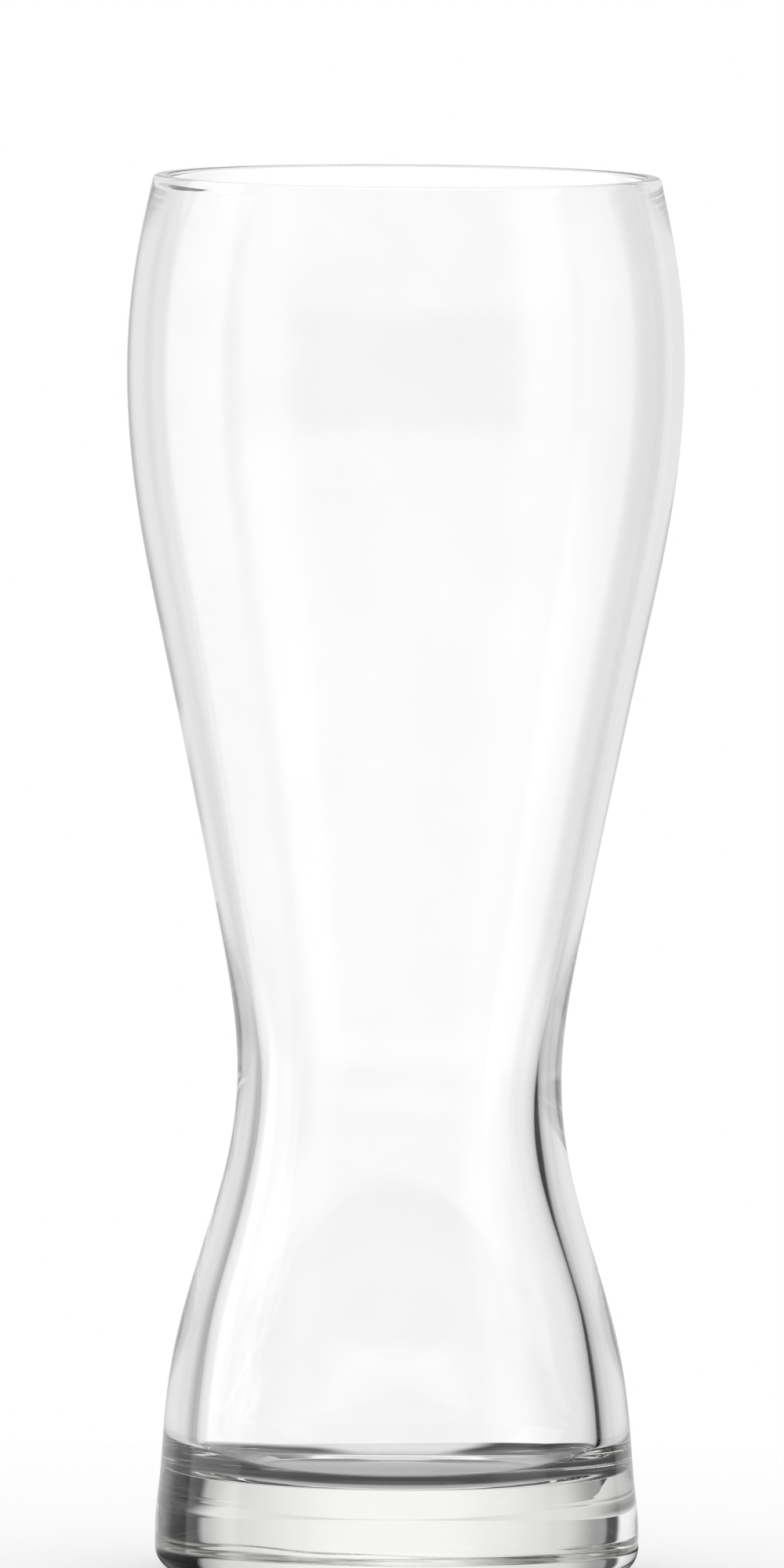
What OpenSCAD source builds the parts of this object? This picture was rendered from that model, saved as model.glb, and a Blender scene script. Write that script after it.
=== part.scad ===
// Weizen beer glass: a tall tumbler in one piece of clear glass, with a heavy solid base,
// a hollow flared foot, a narrow waist, a long taper, a belly that holds the foam,
// a crown that draws in and a flat-topped lip with softened corners.
// Everything is turned about the Z axis. The origin is the centre of the standing ring,
// and z = 0 is the table.
// The seven solids are zones of that one piece, cut square to the axis. Neighbours meet
// face to face and share the same outline, so together they are the whole glass.

/* [Outline] */
// Diameter of the foot at its widest, just above the heel
foot_d = 76.4; // [66:0.2:90]
// Outer diameter of the waist
waist_d = 51.3; // [42:0.1:62]
// Outer diameter of the belly
belly_d = 88; // [76:0.5:100]
// Outer diameter of the lip
lip_d = 80; // [68:0.5:92]
// Height of the waist above the table
waist_z = 80; // [68:1:100]
// Height from the waist up to the belly
belly_rise = 109; // [90:1:140]
// Height from the belly up to the top of the lip
lip_rise = 32; // [24:1:48]

/* [Wall] */
// Thickness of the lip
lip_wall = 2.3; // [1.6:0.1:4]
// Radius of the lip's two softened corners
lip_corner = 0.6; // [0.3:0.1:0.8]
// Thickness of the belly's wall, measured level
bowl_wall = 1.7; // [1.4:0.1:3]
// Thickness of the wall at the foot of the long taper, measured level
taper_wall = 2.1; // [1.4:0.1:4]
// Thickness of the foot's wall, measured level
foot_wall = 4.7; // [3.4:0.1:7]
// Thickness of the wall where it meets the base, measured level
floor_wall = 5.3; // [3.4:0.1:9]
// How far below the top the wall starts to swell towards the lip
lip_reach = 18; // [6:0.5:20]
// How far below the waist the foot's wall starts to thin
thin_below = 26; // [15:1:30]
// How far above the waist the wall is as thin as the taper's
thin_above = 31; // [15:1:50]
// How far above the inner floor the wall starts to thin towards the foot's
gather_from = 12; // [0:1:18]
// How far above the inner floor the wall is as thin as the foot's
gather_to = 34; // [20:1:40]

/* [Base] */
// Thickness of the solid glass under the inner floor
floor_t = 15; // [10:0.5:24]
// Radius of the corner between the inner floor and the inner wall
floor_fillet = 6.4; // [3:0.2:10]
// Radius of the rounded heel
heel_r = 4.3; // [2:0.1:6]
// Height of the straight band above the heel
heel_band = 2.7; // [1:0.1:4]
// Width of the flat ring that the glass stands on
ring_w = 5; // [2:0.5:10]
// Height of the hollow under the base at its centre
punt_h = 2; // [0.8:0.1:4]

/* [Zones] */
// How far the belly's zone reaches below the widest line
belly_reach = 24; // [12:1:40]
// How far the waist's zone reaches above and below the narrowest line
waist_reach = 18; // [8:1:24]

/* [Smoothness] */
// Height of one step along the outline
outline_step = 2; // [1:0.5:4]
// Steps along each rounded corner
corner_steps = 8; // [5:1:16]
// Facets around the glass in a preview
facets = 120; // [60:12:240]

/* [Hidden] */

// Pale grey-green of clear soda-lime glass, and the deeper tint of its thick base
glass_colour = "#DCE5E0";
base_colour = "#C3CFC8";

belly_z = waist_z + belly_rise;
glass_h = belly_z + lip_rise;
foot_z = heel_r + heel_band;
base_top = floor_t + floor_fillet;
rim_z = glass_h - lip_reach;
ring_r = foot_d / 2 - heel_r;
punt_r = ring_r - ring_w;

// Stations of the outline between the foot and the waist, the waist and the belly, and the
// belly and the lip: the share of the height climbed and the share of the radius changed
foot_shares = [[0.1, 0.05], [0.25, 0.12], [0.4, 0.25], [0.6, 0.57], [0.8, 0.89]];
taper_shares = [[0.2, 0.16], [0.4, 0.4], [0.6, 0.65], [0.8, 0.89]];
crown_shares = [[0.5, 0.23]];

// Stations [z, r] from one named place of the outline up to the next, without the last
function stretch(from, to, shares) = concat(
    [from],
    [for (s = shares) [from[0] + s[0] * (to[0] - from[0]), from[1] + s[1] * (to[1] - from[1])]]
);

foot_place = [foot_z, foot_d / 2];
waist_place = [waist_z, waist_d / 2];
belly_place = [belly_z, belly_d / 2];
lip_place = [glass_h, lip_d / 2];
outline = concat(
    stretch(foot_place, waist_place, foot_shares),
    stretch(waist_place, belly_place, taper_shares),
    stretch(belly_place, lip_place, crown_shares),
    [lip_place]
);

// The outline is the smooth cubic curve through its stations. It starts upright at the foot
// and ends straight at the lip, and its bend changes steadily in between.
function run(p, i) = p[i + 1][0] - p[i][0];
function rise(p, i) = (p[i + 1][1] - p[i][1]) / run(p, i);

// One line [below, own, above, right] of the equations for the slopes at the stations
function slope_line(p, i) =
    i == 0 ? [0, 1, 0, 0]
    : i == len(p) - 1 ? [1, 2, 0, 3 * rise(p, i - 1)]
    : [
        run(p, i),
        2 * (run(p, i - 1) + run(p, i)),
        run(p, i - 1),
        3 * (run(p, i) * rise(p, i - 1) + run(p, i - 1) * rise(p, i))
    ];

// Each line with the slope below it taken out, from the first station up
function slope_pairs(p, i = 0, pairs = []) =
    i == len(p) ? pairs
    : let (
        line = slope_line(p, i),
        last = i == 0 ? [0, 0] : pairs[i - 1],
        own = line[1] - line[0] * last[0]
    )
    slope_pairs(p, i + 1, concat(pairs, [[line[2] / own, (line[3] - line[0] * last[1]) / own]]));

// The slopes from the last station back to station i, in rising order
function slopes_from(pairs, i, found = []) =
    i < 0 ? found
    : let (above = len(found) == 0 ? 0 : found[0])
    slopes_from(pairs, i - 1, concat([pairs[i][1] - pairs[i][0] * above], found));

outline_slopes = slopes_from(slope_pairs(outline), len(outline) - 1);

// The stretch between stations that a height lies in
function stretch_at(z, i = 0) =
    i == len(outline) - 2 || z <= outline[i + 1][0] ? i : stretch_at(z, i + 1);

// Outer radius at a height, on the cubic between the two stations around it
function outer_r(z) =
    z <= foot_z ? foot_d / 2
    : let (
        i = stretch_at(z),
        h = run(outline, i),
        t = (z - outline[i][0]) / h
    )
    outline[i][1] * (1 + 2 * t) * (1 - t) ^ 2
    + outline[i + 1][1] * (3 - 2 * t) * t ^ 2
    + h * outline_slopes[i] * t * (1 - t) ^ 2
    - h * outline_slopes[i + 1] * t ^ 2 * (1 - t);

// A step from 0 at a low height to 1 at a high one, level at both and without a jump in its bend
function soft_step(z, low, high) =
    let (t = max(0, min(1, (z - low) / (high - low))))
    t ^ 3 * (10 - 15 * t + 6 * t ^ 2);

// Share of the lip's extra thickness at a height: nothing below the rim, growing with the cube of
// the height in it, so that nearly all of it lies close to the lip
function swell(z) = max(0, (z - rim_z) / (lip_reach - lip_corner)) ^ 3;

// Level thickness of the wall at a height: the floor's, thinning to the foot's, past the waist to
// the taper's and up to the belly's, and swelling again to the lip's
function wall_t(z) =
    floor_wall
    + (foot_wall - floor_wall) * soft_step(z, floor_t + gather_from, floor_t + gather_to)
    + (taper_wall - foot_wall) * soft_step(z, waist_z - thin_below, waist_z + thin_above)
    + (bowl_wall - taper_wall) * soft_step(z, waist_z + thin_above, belly_z)
    + (lip_wall - bowl_wall) * swell(z);

function inner_r(z) = outer_r(z) - wall_t(z);

// Heights from low to high in equal steps, none longer than the outline's step
function levels(low, high) =
    let (steps = ceil((high - low) / outline_step))
    [for (i = [0:steps]) low + (high - low) * i / steps];

function reversed(list) = [for (i = [len(list) - 1:-1:0]) list[i]];

// Section of the wall between two heights: up the outside and down the inside
function wall_section(low, high) = concat(
    [for (z = levels(low, high)) [outer_r(z), z]],
    [for (z = reversed(levels(low, high))) [inner_r(z), z]]
);

// Lip: the outer corner up to the flat top and the inner corner down again, both leaning with
// the wall. A side of 0 is the outer corner and 1 the inner one.
function lip_edge(side) = [
    for (i = [0:corner_steps])
    let (
        a = side == 0 ? 90 * i / corner_steps : 90 - 90 * i / corner_steps,
        in = lip_corner * (1 - cos(a)),
        z = glass_h - lip_corner * (1 - sin(a))
    )
    [outer_r(z) - (side == 0 ? in : lip_wall - in), z]
];

// Rim: the swelling wall up the outside, over the lip and down the inside
function rim_section() =
    let (wall = [for (i = [0:corner_steps - 1]) rim_z + (lip_reach - lip_corner) * i / corner_steps])
    concat(
        [for (z = wall) [outer_r(z), z]],
        lip_edge(0),
        lip_edge(1),
        [for (z = reversed(wall)) [inner_r(z), z]]
    );

// Hollow under the base: one smooth swell from the standing ring up to the centre
function punt_curve() = [
    for (i = [0:2 * corner_steps])
    let (t = i / (2 * corner_steps))
    [punt_r * t, punt_h * (1 + cos(180 * t)) / 2]
];

// Heel: a quarter turn from the standing ring up to the band
function heel_curve() = [
    for (i = [0:corner_steps])
    let (a = 90 * i / corner_steps)
    [ring_r + heel_r * sin(a), heel_r * (1 - cos(a))]
];

// Corner of the inner floor: a quarter turn from the inner wall down to the floor
function floor_corner() = [
    for (i = [0:corner_steps])
    let (a = 90 * i / corner_steps)
    [inner_r(base_top) - floor_fillet * (1 - cos(a)), base_top - floor_fillet * sin(a)]
];

function base_section() = concat(
    punt_curve(),
    heel_curve(),
    [for (z = levels(foot_z, base_top)) [outer_r(z), z]],
    floor_corner(),
    [[0, floor_t]]
);

module turned(colour, section) {
    color(colour)
        rotate_extrude($fn = facets)
            polygon(section);
}

module rim() {
    turned(glass_colour, rim_section());
}

module crown() {
    turned(glass_colour, wall_section(belly_z, rim_z));
}

module belly() {
    turned(glass_colour, wall_section(belly_z - belly_reach, belly_z));
}

module taper() {
    turned(glass_colour, wall_section(waist_z + waist_reach, belly_z - belly_reach));
}

module waist() {
    turned(glass_colour, wall_section(waist_z - waist_reach, waist_z + waist_reach));
}

module foot() {
    turned(glass_colour, wall_section(base_top, waist_z - waist_reach));
}

module base() {
    turned(base_colour, base_section());
}

rim();
crown();
belly();
taper();
waist();
foot();
base();
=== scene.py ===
"""Looks of a clear weizen beer glass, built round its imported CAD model.

The glass is one closed surface turned about the Z axis. Its outline and its wall follow the same
stations and formulas as the CAD part, in metres, so the surface lies where the solids lie.
"""

from __future__ import annotations

import logging
import math
from dataclasses import dataclass, field
from enum import IntEnum
from typing import Union

import bpy
import numpy as np
from mathutils import Matrix, Vector

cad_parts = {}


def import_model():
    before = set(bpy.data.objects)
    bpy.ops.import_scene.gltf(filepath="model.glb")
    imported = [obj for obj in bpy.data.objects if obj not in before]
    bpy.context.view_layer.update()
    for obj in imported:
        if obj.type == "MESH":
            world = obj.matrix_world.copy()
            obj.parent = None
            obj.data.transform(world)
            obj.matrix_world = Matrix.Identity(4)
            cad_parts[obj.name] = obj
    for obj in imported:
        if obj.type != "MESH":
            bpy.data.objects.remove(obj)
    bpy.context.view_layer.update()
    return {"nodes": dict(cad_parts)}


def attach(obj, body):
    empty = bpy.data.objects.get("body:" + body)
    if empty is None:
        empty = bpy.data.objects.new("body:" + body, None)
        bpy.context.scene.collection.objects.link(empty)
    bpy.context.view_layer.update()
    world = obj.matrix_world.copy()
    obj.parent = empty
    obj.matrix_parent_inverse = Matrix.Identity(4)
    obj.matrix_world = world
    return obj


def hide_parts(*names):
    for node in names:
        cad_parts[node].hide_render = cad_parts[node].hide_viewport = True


LOG = logging.getLogger("weizen_glass")
MM = 0.001
PHOTO_WIDTH_PX, PHOTO_HEIGHT_PX = 1000, 2000
LIGHT_BOUNCES = 96

Socket = bpy.types.NodeSocket
Value = Union[float, Socket]


class Side(IntEnum):
    """The part of the closed section that a point lies on.

    Its ends are the underside with the heel, the lip, and the inner floor with its corner.
    """

    OUTER_WALL = -1
    ENDS = 0
    INNER_WALL = 1


@dataclass
class SmoothCurve:
    """A cubic curve r(z) through stations, with a steady bend from each stretch to the next.

    The curve starts with a slope of zero and ends straight, as the CAD outline does.
    """

    stations: list[tuple[float, float]]

    def __post_init__(self) -> None:
        """Solve the equations for the slopes at the stations."""
        points = np.array(self.stations)
        self.z, self.r = points[:, 0], points[:, 1]
        run = np.diff(self.z)
        rise = np.diff(self.r) / run
        count = len(self.z)
        lines, right = np.zeros((count, count)), np.zeros(count)
        lines[0, 0] = 1
        for i in range(1, count - 1):
            lines[i, i - 1 : i + 2] = run[i], 2 * (run[i - 1] + run[i]), run[i - 1]
            right[i] = 3 * (run[i] * rise[i - 1] + run[i - 1] * rise[i])
        lines[-1, -2:] = 1, 2
        right[-1] = 3 * rise[-1]
        self.slopes = np.linalg.solve(lines, right)

    def at(self, z: np.ndarray) -> np.ndarray:
        """Radius at each height.

        On a stretch of height h, with t from 0 to 1 along it, the radius is the cubic that meets both
        stations with their slopes:
        r0 (1 + 2t)(1 - t)^2 + r1 (3 - 2t) t^2 + h m0 t (1 - t)^2 - h m1 t^2 (1 - t).

        Args:
            z: Heights in metres.

        Returns:
            The radii in metres.
        """
        i = np.clip(np.searchsorted(self.z, z) - 1, 0, len(self.z) - 2)
        h = self.z[i + 1] - self.z[i]
        t = (z - self.z[i]) / h
        ends = self.r[i] * (1 + 2 * t) * (1 - t) ** 2 + self.r[i + 1] * (3 - 2 * t) * t**2
        return ends + h * (self.slopes[i] * t * (1 - t) ** 2 - self.slopes[i + 1] * t**2 * (1 - t))


@dataclass
class GlassShape:
    """Sizes of the glass in metres, as in the CAD part, and the curves that follow from them."""

    foot_r: float = 38.2 * MM
    waist_r: float = 25.65 * MM
    belly_r: float = 44.0 * MM
    lip_outer_r: float = 40.0 * MM
    waist_z: float = 80.0 * MM
    belly_z: float = 189.0 * MM
    top_z: float = 221.0 * MM
    lip_wall: float = 2.3 * MM
    bowl_wall: float = 1.7 * MM
    taper_wall: float = 2.1 * MM
    foot_wall: float = 4.7 * MM
    floor_wall: float = 5.3 * MM
    lip_corner: float = 0.6 * MM
    lip_reach: float = 18.0 * MM
    thin_below: float = 26.0 * MM
    thin_above: float = 31.0 * MM
    gather_from: float = 12.0 * MM
    gather_to: float = 34.0 * MM
    floor_z: float = 15.0 * MM
    floor_fillet: float = 6.4 * MM
    heel_r: float = 4.3 * MM
    heel_band: float = 2.7 * MM
    ring_w: float = 5.0 * MM
    punt_h: float = 2.0 * MM
    row_h: float = 1.0 * MM
    foot_shares: tuple[tuple[float, float], ...] = (
        (0.1, 0.05), (0.25, 0.12), (0.4, 0.25), (0.6, 0.57), (0.8, 0.89)
    )
    taper_shares: tuple[tuple[float, float], ...] = ((0.2, 0.16), (0.4, 0.4), (0.6, 0.65), (0.8, 0.89))
    crown_shares: tuple[tuple[float, float], ...] = ((0.5, 0.23),)

    def __post_init__(self) -> None:
        """Work out the places that follow from the sizes."""
        self.foot_z = self.heel_r + self.heel_band
        self.base_top = self.floor_z + self.floor_fillet
        self.rim_z = self.top_z - self.lip_reach
        self.ring_r = self.foot_r - self.heel_r
        self.punt_r = self.ring_r - self.ring_w
        foot, waist = (self.foot_z, self.foot_r), (self.waist_z, self.waist_r)
        belly, lip = (self.belly_z, self.belly_r), (self.top_z, self.lip_outer_r)
        self.outline = SmoothCurve(
            self._stretch(foot, waist, self.foot_shares)
            + self._stretch(waist, belly, self.taper_shares)
            + self._stretch(belly, lip, self.crown_shares)
            + [lip]
        )

    @staticmethod
    def _stretch(
        start: tuple[float, float], end: tuple[float, float], shares: tuple[tuple[float, float], ...]
    ) -> list[tuple[float, float]]:
        """Stations from one named place up to the next, without the last.

        Args:
            start: Height and radius of the lower place.
            end: Height and radius of the upper place.
            shares: Shares of the height climbed and of the radius changed.

        Returns:
            The stations as (height, radius).
        """
        dz, dr = end[0] - start[0], end[1] - start[1]
        return [start] + [(start[0] + a * dz, start[1] + b * dr) for a, b in shares]

    def outer(self, z: np.ndarray) -> np.ndarray:
        """Outer radius at each height; upright below the foot's widest line."""
        return np.where(z <= self.foot_z, self.foot_r, self.outline.at(np.maximum(z, self.foot_z)))

    @staticmethod
    def _step(z: np.ndarray, low: float, high: float) -> np.ndarray:
        """A soft step over a height: 0 at low, 1 at high and 10t^3 - 15t^4 + 6t^5 in between."""
        t = np.clip((z - low) / (high - low), 0, 1)
        return t**3 * (10 - 15 * t + 6 * t**2)

    def _swell(self, z: np.ndarray) -> np.ndarray:
        """Share of the lip's extra thickness: 0 below the rim, then the cube of the height in it."""
        return np.maximum((z - self.rim_z) / (self.lip_reach - self.lip_corner), 0) ** 3

    def wall(self, z: np.ndarray) -> np.ndarray:
        """Level thickness of the wall at each height.

        It is the floor's, thinning to the foot's, past the waist to the taper's and up to the belly's,
        and swelling again to the lip's.

        Args:
            z: Heights in metres.

        Returns:
            The thicknesses in metres.
        """
        gather = self._step(z, self.floor_z + self.gather_from, self.floor_z + self.gather_to)
        thin = self._step(z, self.waist_z - self.thin_below, self.waist_z + self.thin_above)
        thinner = self._step(z, self.waist_z + self.thin_above, self.belly_z)
        return (
            self.floor_wall
            + (self.foot_wall - self.floor_wall) * gather
            + (self.taper_wall - self.foot_wall) * thin
            + (self.bowl_wall - self.taper_wall) * thinner
            + (self.lip_wall - self.bowl_wall) * self._swell(z)
        )

    def inner(self, z: np.ndarray) -> np.ndarray:
        """Inner radius at each height."""
        return self.outer(z) - self.wall(z)

    def levels(self, low: float, high: float) -> np.ndarray:
        """Heights from low to high in equal rows, none higher than row_h."""
        return np.linspace(low, high, max(2, math.ceil((high - low) / self.row_h) + 1))


@dataclass(frozen=True)
class Wave:
    """A wave round the axis: size cos(count a + drift z / top + phase), with a the angle."""

    size: float
    count: int
    drift: float
    phase: float = 0.0

    def at(self, angle: np.ndarray, rise: np.ndarray) -> np.ndarray:
        """The wave at each angle and share of the height."""
        return self.size * np.cos(self.count * angle + self.drift * rise + self.phase)


@dataclass
class Glass:
    """The glass as one closed surface of revolution, with the slight waves of blown glass."""

    shape: GlassShape = field(default_factory=GlassShape)
    segments: int = 192
    punt_rows: int = 24
    corner_rows: int = 14
    lip_rows: int = 8
    floor_rows: int = 12
    band_rows: int = 20
    waves: tuple[Wave, ...] = (Wave(1.0, 1, 2.1), Wave(0.5, 2, -3.0, 0.7), Wave(0.25, 3, 9.0, 1.9))
    wave_in: float = 0.03 * MM
    wave_out: float = 0.012 * MM
    wave_ease: float = 6.0 * MM
    lean: float = -0.3 * MM
    lean_z: float = 52.0 * MM
    lean_reach: float = 28.0 * MM
    core_shift: float = -0.3 * MM
    core_z: float = 66.0 * MM
    core_reach: float = 11.0 * MM
    seam_z: float = 5.9 * MM
    seam_w: float = 0.28 * MM
    seam_h: float = 0.025 * MM
    seam_wander: float = 0.3 * MM
    seam_bends: tuple[int, int] = (5, 11)
    seam_bend_phase: float = 1.0
    seam_fades: int = 3
    seam_fade_phase: float = 0.6

    def quarter(self) -> np.ndarray:
        """Angles along a quarter circle of the heel or of the inner corner."""
        return np.linspace(0, np.pi / 2, self.corner_rows + 1)

    def underside(self) -> np.ndarray:
        """The hollow under the base and the heel round it, from the lower pole outwards.

        The hollow is punt_h (1 + cos(pi r / punt_r)) / 2, and the heel is a quarter circle.

        Returns:
            Points as (radius, height).
        """
        s = self.shape
        t = np.linspace(0, 1, self.punt_rows + 1)
        punt = np.column_stack([s.punt_r * t, s.punt_h * (1 + np.cos(np.pi * t)) / 2])
        a = self.quarter()
        heel = np.column_stack([s.ring_r + s.heel_r * np.sin(a), s.heel_r * (1 - np.cos(a))])
        return np.vstack([punt, heel])

    def outside(self) -> np.ndarray:
        """Points of the outer wall from above the heel up to the lip, in closer rows at the seam."""
        s = self.shape
        band = np.linspace(s.heel_r, s.foot_z, self.band_rows + 1)[1:-1]
        z = np.concatenate([band, s.levels(s.foot_z, s.top_z - s.lip_corner)])
        return np.column_stack([s.outer(z), z])

    def lip(self) -> np.ndarray:
        """The flat lip between two quarter-circle corners that lean with the wall.

        Returns:
            Points as (radius, height), up the outer corner and down the inner one.
        """
        s = self.shape
        a = np.linspace(0, np.pi / 2, self.lip_rows + 1)[1:]
        cut, z = s.lip_corner * (1 - np.cos(a)), s.top_z - s.lip_corner * (1 - np.sin(a))
        up = np.column_stack([s.outer(z) - cut, z])
        down = np.column_stack([s.outer(z) - s.lip_wall + cut, z])[::-1]
        return np.vstack([up, down])

    def inside(self) -> np.ndarray:
        """Points of the inner wall from the lip down to the corner of the floor."""
        s = self.shape
        z = s.levels(s.base_top, s.top_z - s.lip_corner)[::-1]
        return np.column_stack([s.inner(z), z])

    def floor(self) -> np.ndarray:
        """The quarter-circle corner of the inner floor, and the flat floor in to the upper pole.

        Returns:
            Points as (radius, height).
        """
        s = self.shape
        edge = float(s.inner(np.array(s.base_top)))
        a = self.quarter()[1:]
        corner_r = edge - s.floor_fillet * (1 - np.cos(a))
        corner = np.column_stack([corner_r, s.base_top - s.floor_fillet * np.sin(a)])
        flat = np.linspace(edge - s.floor_fillet, 0, self.floor_rows + 1)[1:]
        return np.vstack([corner, np.column_stack([flat, np.full(len(flat), s.floor_z)])])

    def section(self) -> tuple[np.ndarray, np.ndarray]:
        """The closed section from the lower pole, up the outside, over the lip and down to the floor.

        Returns:
            Points as (radius, height), poles included, and the side that each point lies on.
        """
        stretches = (
            (self.underside(), Side.ENDS),
            (self.outside(), Side.OUTER_WALL),
            (self.lip(), Side.ENDS),
            (self.inside(), Side.INNER_WALL),
            (self.floor(), Side.ENDS),
        )
        sides = [np.full(len(points), int(side)) for points, side in stretches]
        return np.vstack([points for points, _ in stretches]), np.concatenate(sides)

    def wave(self, angle: np.ndarray, z: np.ndarray, side: np.ndarray) -> np.ndarray:
        """How far each point stands out from the turned outline.

        The wall of a blown glass is thicker on one side and has long shallow waves: a sum of waves
        round the axis, each drifting with height, scaled per side of the wall, and eased to nothing at
        the lip and at the base. The outside only moves inwards, so that the glass keeps within its
        turned outline.

        Args:
            angle: Angle round the axis in radians.
            z: Height in metres.
            side: The side that each point lies on.

        Returns:
            The change of the radius in metres.
        """
        top, base_top, reach = self.shape.top_z, self.shape.base_top, self.wave_ease
        waves = sum(wave.at(angle, z / top) for wave in self.waves)
        inside = self.wave_in * waves
        outside = -self.wave_out * (waves + sum(wave.size for wave in self.waves))
        change = np.where(side == Side.INNER_WALL, inside, np.where(side == Side.OUTER_WALL, outside, 0.0))
        ease = np.clip((top - z) / reach, 0, 1) * np.clip((z - base_top) / reach, 0, 1)
        return change * ease

    def seam(self, angle: np.ndarray, z: np.ndarray, side: np.ndarray) -> np.ndarray:
        """How far the faint mould seam above the heel stands out from the outside.

        The seam is a low ridge seam_h exp(-d^2) over the height d from its line, in widths. The line
        wanders by seam_wander (sin 5a + sin(11a + 1) / 2), and the ridge fades in and out with
        (1 + cos(3a + 0.6)) / 2.

        Args:
            angle: Angle round the axis in radians.
            z: Height in metres.
            side: The side that each point lies on.

        Returns:
            The change of the radius in metres.
        """
        wide, narrow = self.seam_bends
        bends = np.sin(wide * angle) + np.sin(narrow * angle + self.seam_bend_phase) / 2
        line = self.seam_z + self.seam_wander * bends
        ridge = self.seam_h * np.exp(-(((z - line) / self.seam_w) ** 2))
        shown = (1 + np.cos(self.seam_fades * angle + self.seam_fade_phase)) / 2
        return np.where(side == Side.OUTER_WALL, ridge * shown, 0.0)

    def drift(self, z: np.ndarray, side: np.ndarray) -> np.ndarray:
        """How far the glass leans to one side at each height.

        The foot leans a little as a whole, and the hollow of the waist leans a little more by itself.
        Both are bell curves exp(-d^2) of the height from their middle, over their reach.

        Args:
            z: Height in metres.
            side: The side that each point lies on.

        Returns:
            The shift along X in metres.
        """
        whole = self.lean * np.exp(-(((z - self.lean_z) / self.lean_reach) ** 2))
        core = self.core_shift * np.exp(-(((z - self.core_z) / self.core_reach) ** 2))
        return whole + np.where(side == Side.INNER_WALL, core, 0.0)

    def rings(self, points: np.ndarray, side: np.ndarray) -> np.ndarray:
        """The section turned about the axis, with its waves, its seam and its lean.

        Args:
            points: The section as (radius, height), without the poles.
            side: The side that each point lies on.

        Returns:
            Places in metres, by point of the section, by segment and by axis.
        """
        angle = np.linspace(0, 2 * np.pi, self.segments, endpoint=False)[None, :]
        r, z, side = points[:, :1], points[:, 1:], side[:, None]
        r = r + self.wave(angle, z, side)
        r += self.seam(angle, z, side)
        x = r * np.cos(angle) + self.drift(z, side)
        return np.stack([x, r * np.sin(angle), np.repeat(z, self.segments, axis=1)], axis=2)

    def faces(self, rows: int) -> list[list[int]]:
        """Quads between neighbouring rings, and a fan of triangles at each pole.

        Args:
            rows: How many rings there are. The two poles come after them.

        Returns:
            The faces as lists of vertex numbers, facing outwards.
        """
        n = self.segments
        i, j = np.meshgrid(np.arange(rows - 1), np.arange(n), indexing="ij")
        k = (j + 1) % n
        quads = np.stack([i * n + j, i * n + k, (i + 1) * n + k, (i + 1) * n + j], axis=2).reshape(-1, 4)
        j, k = np.arange(n), (np.arange(n) + 1) % n
        last = (rows - 1) * n
        low = np.column_stack([np.full(n, rows * n), k, j])
        high = np.column_stack([np.full(n, rows * n + 1), last + j, last + k])
        return quads.tolist() + low.tolist() + high.tolist()

    def build(self) -> bpy.types.Object:
        """Make the closed mesh.

        Returns:
            The glass object, at the origin, with its place in its mesh.
        """
        points, side = self.section()
        grid = self.rings(points[1:-1], side[1:-1])
        poles = [[0, 0, points[0, 1]], [0, 0, points[-1, 1]]]
        verts = np.vstack([grid.reshape(-1, 3), poles])
        mesh = bpy.data.meshes.new("glass")
        mesh.from_pydata(verts.tolist(), [], self.faces(len(grid)))
        mesh.polygons.foreach_set("use_smooth", np.ones(len(mesh.polygons), dtype=bool))
        mesh.update()
        obj = bpy.data.objects.new("glass", mesh)
        bpy.context.scene.collection.objects.link(obj)
        return obj


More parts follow.
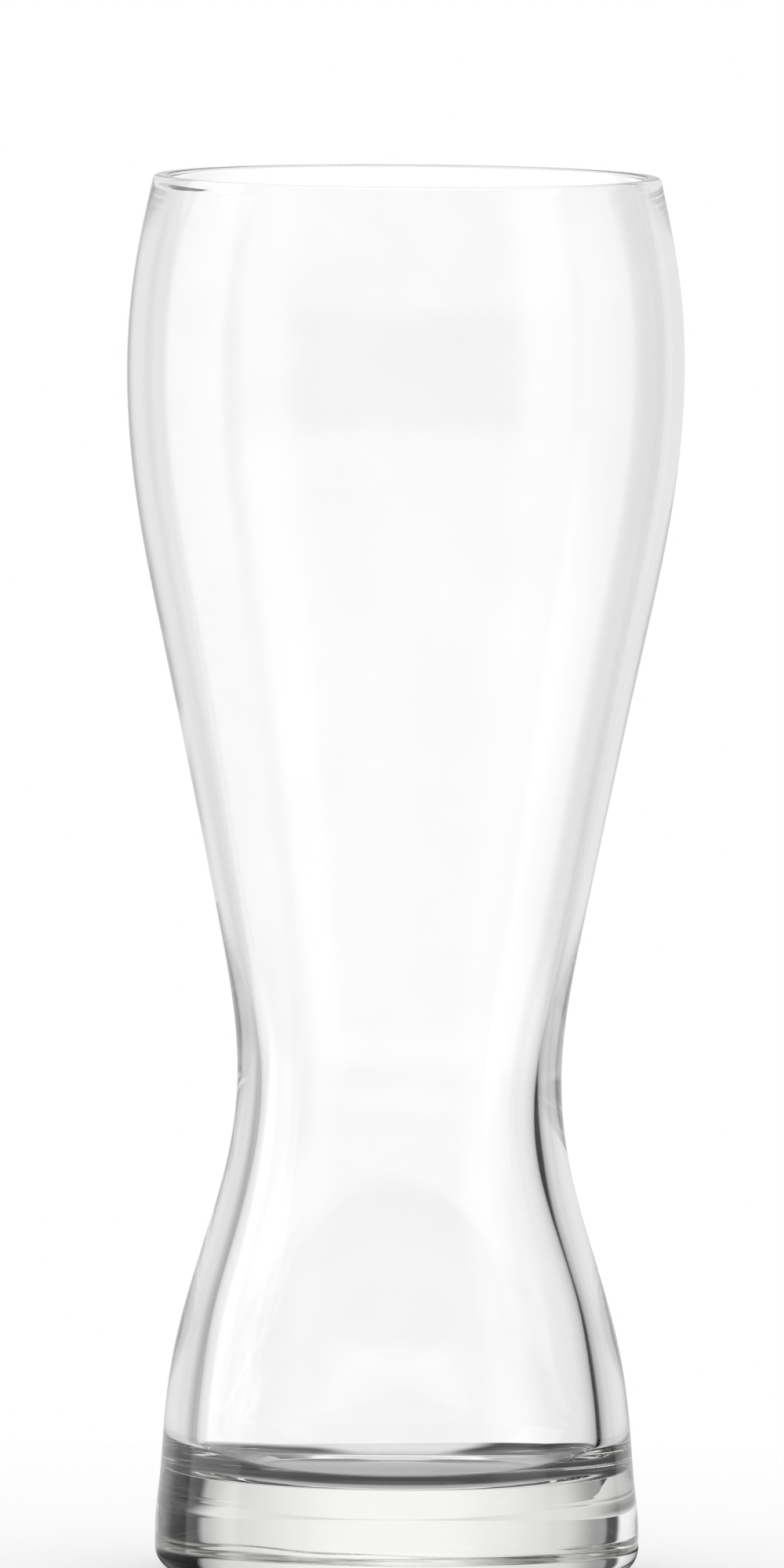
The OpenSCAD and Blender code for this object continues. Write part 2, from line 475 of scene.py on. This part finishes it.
@dataclass(frozen=True)
class ClearGlassFinish:
    """Clear soda-lime glass: smooth, with a faint grey-green tint that deepens with thickness."""

    name: str = "clear_glass"
    surface_colour: tuple[float, ...] = (0.999, 1.0, 0.999, 1.0)
    film_colour: tuple[float, ...] = (0.979, 0.981, 0.978, 1.0)
    film_scale: float = 70.0
    film_detail: float = 5.0
    film_from: float = 0.45
    film_full: float = 0.8
    roughness_low: float = 0.0
    roughness_high: float = 0.012
    ior: float = 1.52
    depth_colour: tuple[float, ...] = (0.55, 0.57, 0.47, 1.0)
    depth_density: float = 2.0
    wave_stretch: tuple[float, ...] = (26.0, 26.0, 5.0)
    wave_detail: float = 1.0
    wave_height: float = 0.00002

    def detail_group(self) -> bpy.types.NodeTree:
        """The group that gives the surface its faint film, wipe marks and drawn waves.

        Returns:
            A node group with the outputs Tint, Smear and Waves.
        """
        tree = bpy.data.node_groups.new("drawn_glass_detail", "ShaderNodeTree")
        face = tree.interface
        face.new_socket("Clean", in_out="INPUT", socket_type="NodeSocketColor")
        face.new_socket("Film", in_out="INPUT", socket_type="NodeSocketColor")
        face.new_socket("Tint", in_out="OUTPUT", socket_type="NodeSocketColor")
        face.new_socket("Smear", in_out="OUTPUT", socket_type="NodeSocketFloat")
        face.new_socket("Waves", in_out="OUTPUT", socket_type="NodeSocketFloat")
        nodes, links = tree.nodes, tree.links
        given, out = nodes.new("NodeGroupInput"), nodes.new("NodeGroupOutput")
        place = nodes.new("ShaderNodeTexCoord")
        long = nodes.new("ShaderNodeMapping")
        long.inputs["Scale"].default_value = self.wave_stretch
        links.new(place.outputs["Object"], long.inputs["Vector"])
        waves = nodes.new("ShaderNodeTexNoise")
        waves.inputs["Scale"].default_value = 1.0
        waves.inputs["Detail"].default_value = self.wave_detail
        links.new(long.outputs["Vector"], waves.inputs["Vector"])
        film = nodes.new("ShaderNodeTexNoise")
        film.inputs["Scale"].default_value = self.film_scale
        film.inputs["Detail"].default_value = self.film_detail
        links.new(place.outputs["Object"], film.inputs["Vector"])
        spread = nodes.new("ShaderNodeMapRange")
        spread.inputs["From Min"].default_value = self.film_from
        spread.inputs["From Max"].default_value = self.film_full
        links.new(film.outputs["Fac"], spread.inputs["Value"])
        blend = nodes.new("ShaderNodeMix")
        blend.data_type = "RGBA"
        links.new(spread.outputs["Result"], blend.inputs["Factor"])
        links.new(given.outputs["Clean"], blend.inputs["A"])
        links.new(given.outputs["Film"], blend.inputs["B"])
        links.new(blend.outputs["Result"], out.inputs["Tint"])
        links.new(spread.outputs["Result"], out.inputs["Smear"])
        links.new(waves.outputs["Fac"], out.inputs["Waves"])
        return tree

    def build(self) -> bpy.types.Material:
        """The glass material: a transmitting Principled surface over a plain absorbing volume."""
        material = bpy.data.materials.new(self.name)
        material.use_nodes = True
        tree = material.node_tree
        nodes, links = tree.nodes, tree.links
        surface = nodes["Principled BSDF"]
        surface.inputs["Transmission Weight"].default_value = 1.0
        surface.inputs["IOR"].default_value = self.ior
        surface.inputs["Metallic"].default_value = 0.0
        detail = nodes.new("ShaderNodeGroup")
        detail.node_tree = self.detail_group()
        detail.inputs["Clean"].default_value = self.surface_colour
        detail.inputs["Film"].default_value = self.film_colour
        links.new(detail.outputs["Tint"], surface.inputs["Base Color"])
        smear = nodes.new("ShaderNodeMapRange")
        smear.inputs["To Min"].default_value = self.roughness_low
        smear.inputs["To Max"].default_value = self.roughness_high
        links.new(detail.outputs["Smear"], smear.inputs["Value"])
        links.new(smear.outputs["Result"], surface.inputs["Roughness"])
        waves = nodes.new("ShaderNodeBump")
        waves.inputs["Distance"].default_value = self.wave_height
        waves.inputs["Strength"].default_value = 1.0
        links.new(detail.outputs["Waves"], waves.inputs["Height"])
        links.new(waves.outputs["Normal"], surface.inputs["Normal"])
        depth = nodes.new("ShaderNodeVolumeAbsorption")
        depth.inputs["Color"].default_value = self.depth_colour
        depth.inputs["Density"].default_value = self.depth_density
        links.new(depth.outputs["Volume"], nodes["Material Output"].inputs["Volume"])
        return material


@dataclass(frozen=True)
class Panel:
    """One soft-edged panel of the studio round the glass.

    Its azimuth runs from straight behind the glass, positive to the right, and its elevation from the
    horizon up, both in degrees. A strength of 1 is white. A panel with no half_width goes all round,
    and one with no low or high has no end there. A straight panel is seen only by rays that no
    reflection has turned.
    """

    name: str
    strength: float
    azimuth: float = 0.0
    half_width: float | None = None
    edge: float = 10.0
    low: float | None = None
    high: float | None = None
    rise: float = 10.0
    straight: bool = False


class Nodes:
    """Short ways to add the nodes of one shader tree."""

    def __init__(self, tree: bpy.types.NodeTree) -> None:
        """Keep the tree to add to."""
        self.tree = tree

    def set(self, socket: Socket, value: Value) -> None:
        """Link a socket to another, or give it a plain value."""
        if isinstance(value, Socket):
            self.tree.links.new(value, socket)
        else:
            socket.default_value = value

    def math(self, operation: str, *values: Value) -> Socket:
        """One Math node.

        Args:
            operation: The name of the operation.
            values: Sockets or numbers for its inputs.

        Returns:
            Its output.
        """
        node = self.tree.nodes.new("ShaderNodeMath")
        node.operation = operation
        for socket, value in zip(node.inputs, values):
            self.set(socket, value)
        return node.outputs["Value"]

    def ramp(self, value: Value, start: float, end: float) -> Socket:
        """A smooth step of a value: 0 at start and 1 at end, whichever is larger."""
        node = self.tree.nodes.new("ShaderNodeMapRange")
        node.interpolation_type = "SMOOTHSTEP"
        node.inputs["From Min"].default_value = start
        node.inputs["From Max"].default_value = end
        self.set(node.inputs["Value"], value)
        return node.outputs["Result"]

    def mix(self, factor: Value, low: Value, high: Value) -> Socket:
        """A mix of two plain numbers or sockets.

        Args:
            factor: The share of high.
            low: The value for a factor of 0.
            high: The value for a factor of 1.

        Returns:
            The mixed value.
        """
        node = self.tree.nodes.new("ShaderNodeMix")
        self.set(node.inputs["Factor"], factor)
        self.set(node.inputs["A"], low)
        self.set(node.inputs["B"], high)
        return node.outputs["Result"]

    def length(self, x: Value, y: Value) -> Socket:
        """The distance sqrt(x^2 + y^2)."""
        return self.math("SQRT", self.math("MULTIPLY_ADD", x, x, self.math("MULTIPLY", y, y)))

    def seen_by_glass(self) -> Socket:
        """1 for a ray that left the glass by reflection or refraction, else 0."""
        path = self.tree.nodes.new("ShaderNodeLightPath")
        return self.math("MAXIMUM", path.outputs["Is Glossy Ray"], path.outputs["Is Transmission Ray"])


@dataclass(frozen=True)
class StudioWorld:
    """The studio round the glass.

    The camera sees plain white, and every ray that goes straight through both walls of the bowl sees
    the backdrop. Reflections, and rays that the thick glass bends aside, see the panels of the room,
    and the matt floor is lit evenly.
    A ray's counts of surfaces crossed and of reflections are whole numbers, so each limit lies halfway
    between two of them: both_walls below four surfaces, and turned below one reflection.
    """

    white: float = 1.0
    backdrop: float = 1.06
    room: float = 0.4
    lit: float = 0.9
    both_walls: float = 3.5
    turned: float = 0.5
    panels: tuple[Panel, ...] = (
        Panel("paper_sweep", 0.8, azimuth=0, half_width=32, edge=14, low=-90, high=62),
        Panel("backdrop_glow", 1.06, azimuth=0, half_width=6, edge=26, low=-90, high=26, straight=True),
        Panel("softbox_left", 1.2, azimuth=-78, half_width=17, edge=4, low=-20, high=30),
        Panel(
            "gap_beside_softbox", 0.1, azimuth=-54, half_width=2, edge=3, low=-20, high=30, straight=True
        ),
        Panel("black_card_right", 0.0, azimuth=73, half_width=27, edge=4, low=-22, high=30),
        Panel("softbox_right", 0.7, azimuth=118, half_width=10, edge=8, low=-20, high=30),
        Panel("dim_room_behind", 0.12, azimuth=180, half_width=40, edge=20, low=-40, high=40),
        Panel("dark_above_right", 0.0, azimuth=62, half_width=38, edge=20, low=40, high=62),
        Panel("ceiling_softbox", 1.35, low=70),
        Panel("table_behind", 0.7, azimuth=180, half_width=70, edge=20, low=-90, high=-12, rise=5),
        Panel("table", 0.85, high=-26),
        Panel("pale_room_behind", 0.95, azimuth=180, half_width=96, edge=4, straight=True),
    )

    def build(self) -> None:
        """Make the world's shader from the panels, in their order, the later over the earlier."""
        world = bpy.data.worlds.new("studio")
        bpy.context.scene.world = world
        world.use_nodes = True
        tree = world.node_tree
        nodes = Nodes(tree)
        place = tree.nodes.new("ShaderNodeTexCoord")
        parts = tree.nodes.new("ShaderNodeSeparateXYZ")
        tree.links.new(place.outputs["Generated"], parts.inputs["Vector"])
        azimuth = nodes.math("ARCTAN2", parts.outputs["X"], parts.outputs["Y"])
        elevation = nodes.math("ARCSINE", parts.outputs["Z"])
        path = tree.nodes.new("ShaderNodeLightPath")
        crossed = nodes.math("GREATER_THAN", path.outputs["Transmission Depth"], self.both_walls)
        plain = nodes.math("LESS_THAN", path.outputs["Glossy Depth"], self.turned)
        value: Value = self.room
        for panel in self.panels:
            share = self.mask(nodes, panel, azimuth, elevation)
            if panel.straight:
                share = nodes.math("MULTIPLY", share, plain)
            value = nodes.mix(share, value, panel.strength)
            LOG.info("studio panel: %s", panel.name)
        value = nodes.mix(nodes.math("MULTIPLY", crossed, plain), value, self.backdrop)
        value = nodes.mix(nodes.seen_by_glass(), self.lit, value)
        value = nodes.mix(path.outputs["Is Camera Ray"], value, self.white)
        nodes.set(tree.nodes["Background"].inputs["Color"], value)

    @staticmethod
    def mask(nodes: Nodes, panel: Panel, azimuth: Socket, elevation: Socket) -> Value:
        """How much of a panel a direction sees: 1 inside it, falling smoothly to 0 over its edges.

        Args:
            nodes: The tree to add to.
            panel: The panel.
            azimuth: The direction's azimuth in radians.
            elevation: Its elevation in radians.

        Returns:
            The share.
        """
        share: Value = 1.0
        if panel.half_width is not None:
            away = nodes.math("SUBTRACT", azimuth, math.radians(panel.azimuth))
            away = nodes.math("ABSOLUTE", nodes.math("WRAP", away, math.pi, -math.pi))
            inside = math.radians(panel.half_width)
            share = nodes.ramp(away, inside + math.radians(panel.edge), inside)
        rise = math.radians(panel.rise)
        if panel.low is not None:
            low = math.radians(panel.low)
            share = nodes.math("MULTIPLY", share, nodes.ramp(elevation, low - rise, low))
        if panel.high is not None:
            high = math.radians(panel.high)
            share = nodes.math("MULTIPLY", share, nodes.ramp(elevation, high + rise, high))
        return share


@dataclass(frozen=True)
class FloorPaintAndPaintedShade:
    """Pale matt paint, lifted to white for the camera, and plain shades for the rays from the glass.

    Close round the glass, what the glass itself shows of the table is painted light and shade, standing
    in for the little light that gets under the base: a painted glow on an oval under the middle, a
    painted dark ring of shade round it, a painted lit strip behind the glass where the backdrop would
    light it, and a painted shadow on the side of the black_card_right panel. Further off the glass shows
    the studio's own table panels.
    """

    name: str = "studio_floor"
    colour: float = 0.8
    roughness: float = 0.9
    lift: float = 0.28
    # Painted glow on an oval under the middle, with a painted dark ring of shade round it.
    glow_r: float = 25.0 * MM
    ring_r: float = 33.0 * MM
    oval: float = 1.35
    beside_r: float = 44.0 * MM
    clear_r: float = 70.0 * MM
    glow: float = 0.45
    under: float = 0.08
    table: float = 0.85
    # Painted lit strip of table behind the glass, where the backdrop would light it.
    strip_from_r: float = 33.0 * MM
    strip_to_r: float = 38.0 * MM
    strip_deg: tuple[float, float] = (8.0, 18.0)
    # Painted shadow on the table, on the side of the black_card_right panel.
    card_shadow_from_r: float = 38.0 * MM
    card_shadow_deg: tuple[float, float, float, float] = (11.0, 17.0, 85.0, 100.0)
    card_shadow: float = 0.03

    def build(self) -> bpy.types.Material:
        """The floor's material."""
        material = bpy.data.materials.new(self.name)
        material.use_nodes = True
        tree = material.node_tree
        nodes = Nodes(tree)
        surface = tree.nodes["Principled BSDF"]
        surface.inputs["Base Color"].default_value = (self.colour,) * 3 + (1.0,)
        surface.inputs["Roughness"].default_value = self.roughness
        surface.inputs["Specular IOR Level"].default_value = 0.0
        surface.inputs["Emission Color"].default_value = (1.0, 1.0, 1.0, 1.0)
        path = tree.nodes.new("ShaderNodeLightPath")
        lift = nodes.math("MULTIPLY", path.outputs["Is Camera Ray"], self.lift)
        nodes.set(surface.inputs["Emission Strength"], lift)
        place = tree.nodes.new("ShaderNodeTexCoord")
        parts = tree.nodes.new("ShaderNodeSeparateXYZ")
        tree.links.new(place.outputs["Object"], parts.inputs["Vector"])
        x, y = parts.outputs["X"], parts.outputs["Y"]
        radius = nodes.length(x, y)
        # Painted light and shade for the rays from the glass: an emission, not light falling on the paint.
        shade = tree.nodes.new("ShaderNodeEmission")
        nodes.set(shade.inputs["Strength"], self.light(nodes, x, y, radius))
        clear = tree.nodes.new("ShaderNodeBsdfTransparent")
        near = tree.nodes.new("ShaderNodeMixShader")
        nodes.set(near.inputs["Fac"], nodes.math("GREATER_THAN", radius, self.clear_r))
        tree.links.new(shade.outputs["Emission"], near.inputs[1])
        tree.links.new(clear.outputs["BSDF"], near.inputs[2])
        both = tree.nodes.new("ShaderNodeMixShader")
        nodes.set(both.inputs["Fac"], nodes.seen_by_glass())
        tree.links.new(surface.outputs["BSDF"], both.inputs[1])
        tree.links.new(near.outputs["Shader"], both.inputs[2])
        tree.links.new(both.outputs["Shader"], tree.nodes["Material Output"].inputs["Surface"])
        return material

    def light(self, nodes: Nodes, x: Socket, y: Socket, radius: Socket) -> Socket:
        """What the glass sees of the table at a place close round it.

        Args:
            nodes: The tree to add to.
            x: The place's X.
            y: The place's Y.
            radius: Its distance from the axis.

        Returns:
            The strength of the painted light and shade.
        """
        # Painted glow on the oval under the middle, fading out to the painted dark ring of shade.
        oval = nodes.length(x, nodes.math("MULTIPLY", y, self.oval))
        value = nodes.mix(nodes.ramp(oval, self.glow_r, self.ring_r), self.glow, self.under)
        value = nodes.mix(nodes.ramp(radius, self.beside_r, self.clear_r), value, self.table)
        azimuth = nodes.math("ARCTAN2", x, y)
        # Painted lit strip: the table's brightness in a narrow wedge straight behind the glass.
        inside, outside = (math.radians(angle) for angle in self.strip_deg)
        strip = nodes.ramp(nodes.math("ABSOLUTE", azimuth), outside, inside)
        strip = nodes.math("MULTIPLY", strip, nodes.ramp(radius, self.strip_from_r, self.strip_to_r))
        value = nodes.mix(strip, value, self.table)
        # Painted shadow: the table is painted dark on the side of the black_card_right panel.
        start, full, still, end = (math.radians(angle) for angle in self.card_shadow_deg)
        card_shadow = nodes.math("MULTIPLY", nodes.ramp(azimuth, start, full), nodes.ramp(azimuth, end, still))
        card_shadow = nodes.math("MULTIPLY", card_shadow, nodes.ramp(radius, self.card_shadow_from_r, self.beside_r))
        return nodes.mix(card_shadow, value, self.card_shadow)


@dataclass
class StudioFloor:
    """The pale table that the glass stands on, white to the camera, with the soft shadow left on it."""

    radius: float = 0.25
    segments: int = 96
    paint_and_painted_shade: FloorPaintAndPaintedShade = FloorPaintAndPaintedShade()

    def build(self) -> bpy.types.Object:
        """A flat disc at the table's height with its own pale material.

        Returns:
            The floor object.
        """
        angle = np.linspace(0, 2 * np.pi, self.segments, endpoint=False)
        flat = np.column_stack([np.cos(angle), np.sin(angle), np.zeros(self.segments)])
        verts = self.radius * flat
        mesh = bpy.data.meshes.new("studio_floor")
        mesh.from_pydata(verts.tolist(), [], [list(range(self.segments))])
        obj = bpy.data.objects.new("studio_floor", mesh)
        bpy.context.scene.collection.objects.link(obj)
        mesh.materials.append(self.paint_and_painted_shade.build())
        return obj


@dataclass
class PhotoCamera:
    """The camera at the photograph's angle: far off, a little above the glass, with a long lens."""

    distance: float = 5.8
    elevation_deg: float = 3.6
    roll_deg: float = 0.45
    mm_per_px: float = 88.0 / 711.0
    table_y_px: float = 2009.0
    axis_x_px: float = 513.5
    sensor_mm: float = 36.0
    clip_near: float = 0.1
    clip_far: float = 100.0

    def build(self) -> bpy.types.Object:
        """Place the camera so that the table and the glass's axis fall where the photograph has them.

        Returns:
            The camera object.
        """
        scale = self.mm_per_px * MM
        aim = Vector((
            (PHOTO_WIDTH_PX / 2 - self.axis_x_px) * scale,
            0.0,
            (self.table_y_px - PHOTO_HEIGHT_PX / 2) * scale,
        ))
        tilt = math.radians(self.elevation_deg)
        back = Vector((0.0, -math.cos(tilt), math.sin(tilt)))
        data = bpy.data.cameras.new("photo_camera")
        data.sensor_width = self.sensor_mm
        data.lens = self.sensor_mm * self.distance / (PHOTO_HEIGHT_PX * scale)
        data.clip_start, data.clip_end = self.clip_near, self.clip_far
        camera = bpy.data.objects.new("photo_camera", data)
        bpy.context.scene.collection.objects.link(camera)
        turn = (-back).to_track_quat("-Z", "Y").to_matrix().to_4x4()
        roll = Matrix.Rotation(math.radians(self.roll_deg), 4, "Z")
        camera.matrix_world = Matrix.Translation(aim + back * self.distance) @ turn @ roll
        bpy.context.scene.camera = camera
        return camera


def main() -> None:
    """Build the camera, the studio and the glass, hang the glass on the root body and hide the frame's
    nodes.
    """
    logging.basicConfig(level=logging.INFO, format="%(name)s: %(message)s")
    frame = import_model()
    scene = bpy.context.scene
    scene.view_settings.view_transform = "Standard"
    scene.cycles.max_bounces = LIGHT_BOUNCES
    scene.cycles.transmission_bounces = LIGHT_BOUNCES
    scene.cycles.glossy_bounces = LIGHT_BOUNCES
    PhotoCamera().build()
    StudioWorld().build()
    StudioFloor().build()
    glass = Glass().build()
    glass.data.materials.append(ClearGlassFinish().build())
    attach(glass, "root")
    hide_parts(*frame["nodes"])
    LOG.info("glass: %d faces", len(glass.data.polygons))


if __name__ == "__main__":
    main()
